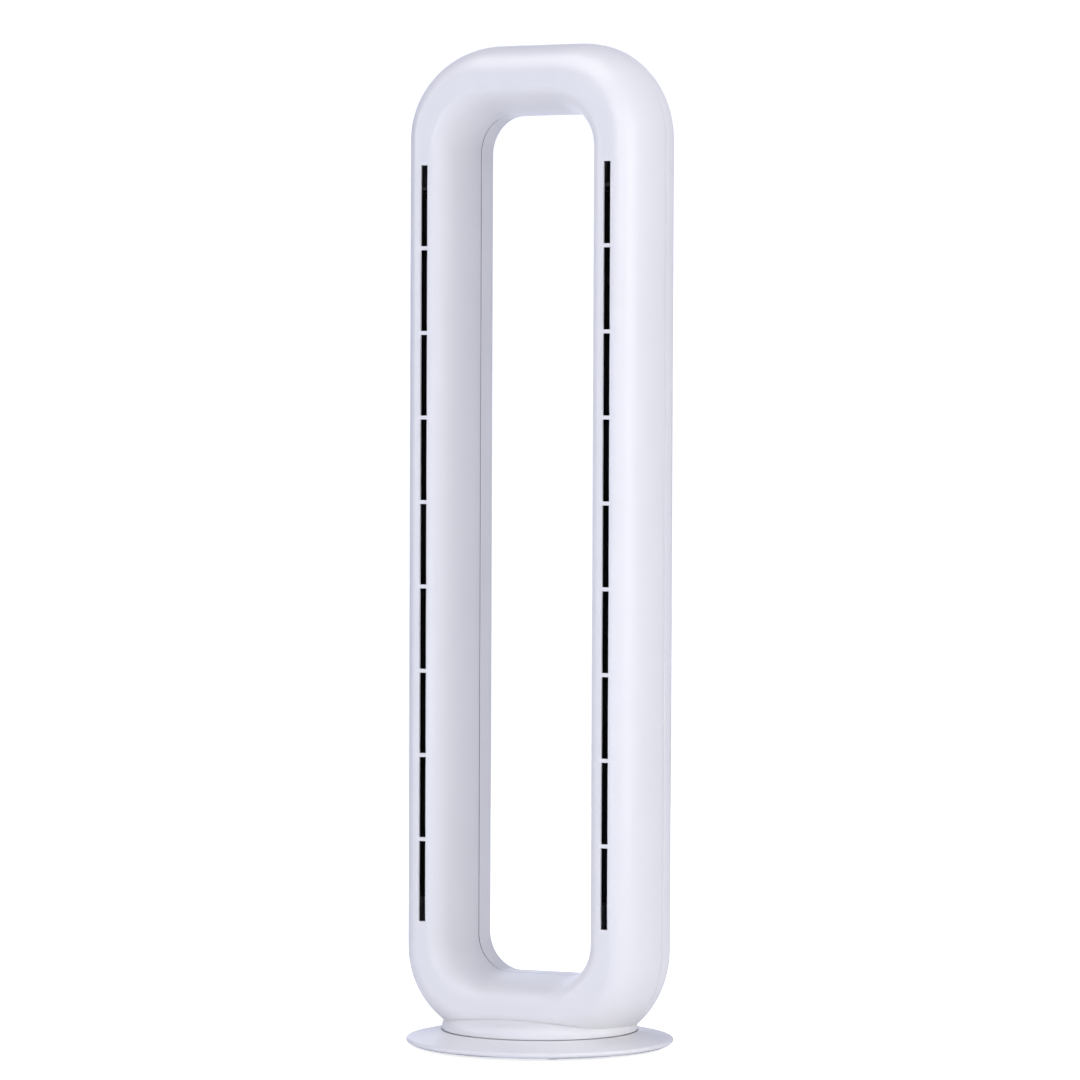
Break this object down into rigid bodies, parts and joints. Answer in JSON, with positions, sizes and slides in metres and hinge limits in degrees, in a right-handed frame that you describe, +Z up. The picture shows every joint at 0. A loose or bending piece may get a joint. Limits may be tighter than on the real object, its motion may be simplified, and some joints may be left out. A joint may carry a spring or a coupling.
{
  "type": "air purifier",
  "caption": "Tall loop-shaped tower air purifier with slotted outlets in both columns and filters behind rear covers, turning on a round flat base.",
  "frame": {"origin": "on the floor under the swivel axis, at the bottom of the rubber feet", "axes": "+Z up, along the tall loop; the front with the outlet slots faces -Y; +X to the viewer's right"},
  "size_m": [0.268, 0.268, 0.9999],
  "materials": {
    "white_shell": "satin moulded ABS with a fine spark texture",
    "plated_steel": "zinc plated",
    "cast_iron": "as cast, painted black",
    "rubber": "moulded rubber",
    "acetal": "natural acetal, slightly waxy",
    "black_plastic": "black polypropylene, satin",
    "grey_plastic": "grey glass-filled plastic",
    "bronze": "sintered bronze and brass",
    "filter_plastic": "pale grey cartridge frame",
    "filter_paper": "pleated glass-fibre paper",
    "mesh": "woven nylon mesh",
    "panel_gloss": "high gloss black",
    "button_grey": "satin grey",
    "lens": "clear light pipe",
    "circuit_board": "green solder mask"
  },
  "bodies": {
    "base": {"base_cover": "white_shell", "base_plate": "plated_steel", "base_weight": "cast_iron", "rubber_feet": "rubber", "base_screws": "plated_steel", "swivel_post": "acetal", "post_screws": "plated_steel", "retaining_clip": "plated_steel", "fixed_gear": "acetal", "glide_ring": "acetal"},
    "head": {"pedestal": "white_shell", "front_shell": "white_shell", "rear_shell": "white_shell", "swivel_motor": "plated_steel", "motor_screws": "plated_steel", "control_panel": "panel_gloss", "indicator_lenses": "lens", "control_board": "circuit_board", "board_carrier": "black_plastic", "dust_sensor": "black_plastic", "power_inlet": "black_plastic", "inlet_pins": "bronze", "power_board": "circuit_board", "board_screws": "plated_steel", "fan_housing_left": "black_plastic", "outlet_nozzle_left": "black_plastic", "fan_motor_left": "plated_steel", "motor_damper_left": "rubber", "motor_mount_left": "grey_plastic", "fan_bush_left": "bronze", "bush_bracket_left": "grey_plastic", "filter_bay_left": "grey_plastic", "fan_housing_right": "black_plastic", "outlet_nozzle_right": "black_plastic", "fan_motor_right": "plated_steel", "motor_damper_right": "rubber", "motor_mount_right": "grey_plastic", "fan_bush_right": "bronze", "bush_bracket_right": "grey_plastic", "filter_bay_right": "grey_plastic"},
    "swivel_pinion": {"swivel_pinion": "acetal"},
    "rotor_left": {"fan_rotor_left": "black_plastic"},
    "cover_left": {"filter_cover_left": "white_shell"},
    "filter_left": {"filter_frame_left": "filter_plastic", "filter_media_left": "filter_paper", "prefilter_left": "mesh"},
    "rotor_right": {"fan_rotor_right": "black_plastic"},
    "cover_right": {"filter_cover_right": "white_shell"},
    "filter_right": {"filter_frame_right": "filter_plastic", "filter_media_right": "filter_paper", "prefilter_right": "mesh"},
    "power_button": {"power_button": "button_grey"},
    "speed_button": {"speed_button": "button_grey"},
    "swing_button": {"swing_button": "button_grey"},
    "timer_button": {"timer_button": "button_grey"}
  },
  "joints": [
    {"name": "head_swivel", "type": "hinge", "parent": "base", "child": "head", "pos_m": [0, 0, 0.03], "axis": [0, 0, 1], "range_deg": [-40, 40]},
    {"name": "pinion_spin", "type": "hinge", "parent": "head", "child": "swivel_pinion", "pos_m": [0, -0.04, 0.0216], "axis": [0, 0, 1], "range_deg": [-170, 170]},
    {"name": "rotor_spin_left", "type": "hinge", "parent": "head", "child": "rotor_left", "pos_m": [-0.0982, -0.016, 0.5], "axis": [0, 0, 1], "continuous": true},
    {"name": "cover_pull_left", "type": "slide", "parent": "head", "child": "cover_left", "axis": [0, 1, 0], "range_m": [0, 0.16]},
    {"name": "filter_pull_left", "type": "slide", "parent": "head", "child": "filter_left", "axis": [0, 1, 0], "range_m": [0, 0.08]},
    {"name": "rotor_spin_right", "type": "hinge", "parent": "head", "child": "rotor_right", "pos_m": [0.0982, -0.016, 0.5], "axis": [0, 0, 1], "continuous": true},
    {"name": "cover_pull_right", "type": "slide", "parent": "head", "child": "cover_right", "axis": [0, 1, 0], "range_m": [0, 0.16]},
    {"name": "filter_pull_right", "type": "slide", "parent": "head", "child": "filter_right", "axis": [0, 1, 0], "range_m": [0, 0.08]},
    {"name": "power_press", "type": "slide", "parent": "head", "child": "power_button", "axis": [0, 0, -1], "range_m": [0, 0.0008], "stiffness_N_per_m": 400},
    {"name": "speed_press", "type": "slide", "parent": "head", "child": "speed_button", "axis": [0, 0, -1], "range_m": [0, 0.0008], "stiffness_N_per_m": 400},
    {"name": "swing_press", "type": "slide", "parent": "head", "child": "swing_button", "axis": [0, 0, -1], "range_m": [0, 0.0008], "stiffness_N_per_m": 400},
    {"name": "timer_press", "type": "slide", "parent": "head", "child": "timer_button", "axis": [0, 0, -1], "range_m": [0, 0.0008], "stiffness_N_per_m": 400}
  ],
  "couplings": [
    {"joint": "pinion_spin", "follows": "head_swivel", "ratio": 4},
    {"joint": "filter_pull_left", "follows": "cover_pull_left", "ratio": 0.5},
    {"joint": "filter_pull_right", "follows": "cover_pull_right", "ratio": 0.5}
  ]
}
